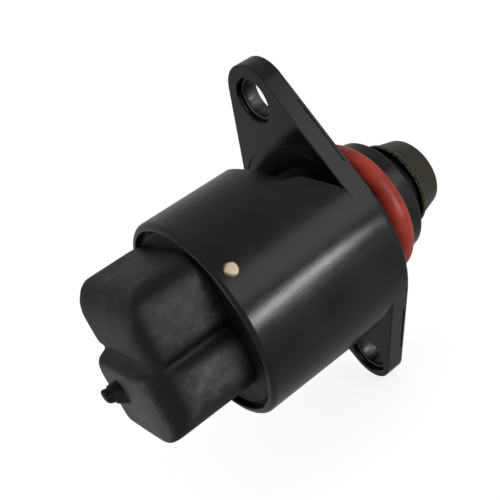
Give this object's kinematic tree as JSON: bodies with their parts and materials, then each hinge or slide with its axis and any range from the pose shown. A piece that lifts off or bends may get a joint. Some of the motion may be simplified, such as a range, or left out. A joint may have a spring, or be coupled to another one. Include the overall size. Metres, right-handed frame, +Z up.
{
  "type": "idle air control valve",
  "caption": "Stepper motor idle air control valve: black can with a two-ear flange, sealing ring round the nose, sliding pintle and a side-facing plug socket.",
  "frame": {"origin": "centre of the flange's mounting face on the valve axis", "axes": "+X along the valve axis towards the pintle, +Z up through the two ear holes, the socket opens to +Y"},
  "size_m": [0.0658, 0.035, 0.0597],
  "materials": {
    "moulded_housing": "satin moulded black plastic",
    "moulded_connector": "matte mottled dark plastic",
    "sleeve_steel": "bright pressed sleeve",
    "ring_rubber": "smooth red-orange rubber",
    "seal_compound": "black sealing compound",
    "bead_compound": "cream sealing compound",
    "terminal_metal": "plated bright",
    "plate_steel": "plain",
    "stator_steel": "zinc plated",
    "bobbin_plastic": "natural",
    "coil_wire": "enamelled copper wire",
    "bearing_steel": "ground and polished",
    "cage_metal": "pressed",
    "bush_bronze": "sintered",
    "bush_plastic": "moulded",
    "magnet_ferrite": "moulded ferrite",
    "hub_plastic": "moulded",
    "nut_bronze": "turned",
    "screw_steel": "ground",
    "pintle_metal": "satin olive-bronze coat"
  },
  "bodies": {
    "valve_body": {"housing": "moulded_housing", "upper_sleeve": "sleeve_steel", "lower_sleeve": "sleeve_steel", "o_ring": "ring_rubber", "connector_cover": "moulded_connector", "terminal_1": "terminal_metal", "terminal_2": "terminal_metal", "terminal_3": "terminal_metal", "terminal_4": "terminal_metal", "cover_seal": "seal_compound", "sealing_bead": "bead_compound", "end_plate": "plate_steel", "rear_bush": "bush_bronze", "rear_stator_cup": "stator_steel", "rear_pole_plate": "stator_steel", "front_pole_plate": "stator_steel", "front_stator_cup": "stator_steel", "rear_bobbin": "bobbin_plastic", "front_bobbin": "bobbin_plastic", "rear_coil": "coil_wire", "front_coil": "coil_wire", "bearing_outer_ring": "bearing_steel", "wave_washer": "plate_steel", "guide_bush": "bush_plastic"},
    "rotor": {"rotor_magnet": "magnet_ferrite", "rotor_hub": "hub_plastic", "rotor_nut": "nut_bronze", "bearing_inner_ring": "bearing_steel"},
    "ball_set": {"bearing_balls": "bearing_steel", "bearing_cage": "cage_metal"},
    "pintle": {"lead_screw": "screw_steel", "pintle_head": "pintle_metal"}
  },
  "joints": [
    {"name": "rotor_spin", "type": "hinge", "parent": "valve_body", "child": "rotor", "pos_m": [0, 0, 0], "axis": [1, 0, 0], "range_deg": [-1440, 1440]},
    {"name": "pintle_slide", "type": "slide", "parent": "valve_body", "child": "pintle", "axis": [1, 0, 0], "range_m": [-0.004, 0.004]},
    {"name": "ball_orbit", "type": "hinge", "parent": "valve_body", "child": "ball_set", "pos_m": [0, 0, 0], "axis": [1, 0, 0], "range_deg": [-580, 580]}
  ],
  "couplings": [
    {"joint": "pintle_slide", "follows": "rotor_spin", "m_per_rad": 0.00015915},
    {"joint": "ball_orbit", "follows": "rotor_spin", "ratio": 0.4008}
  ]
}
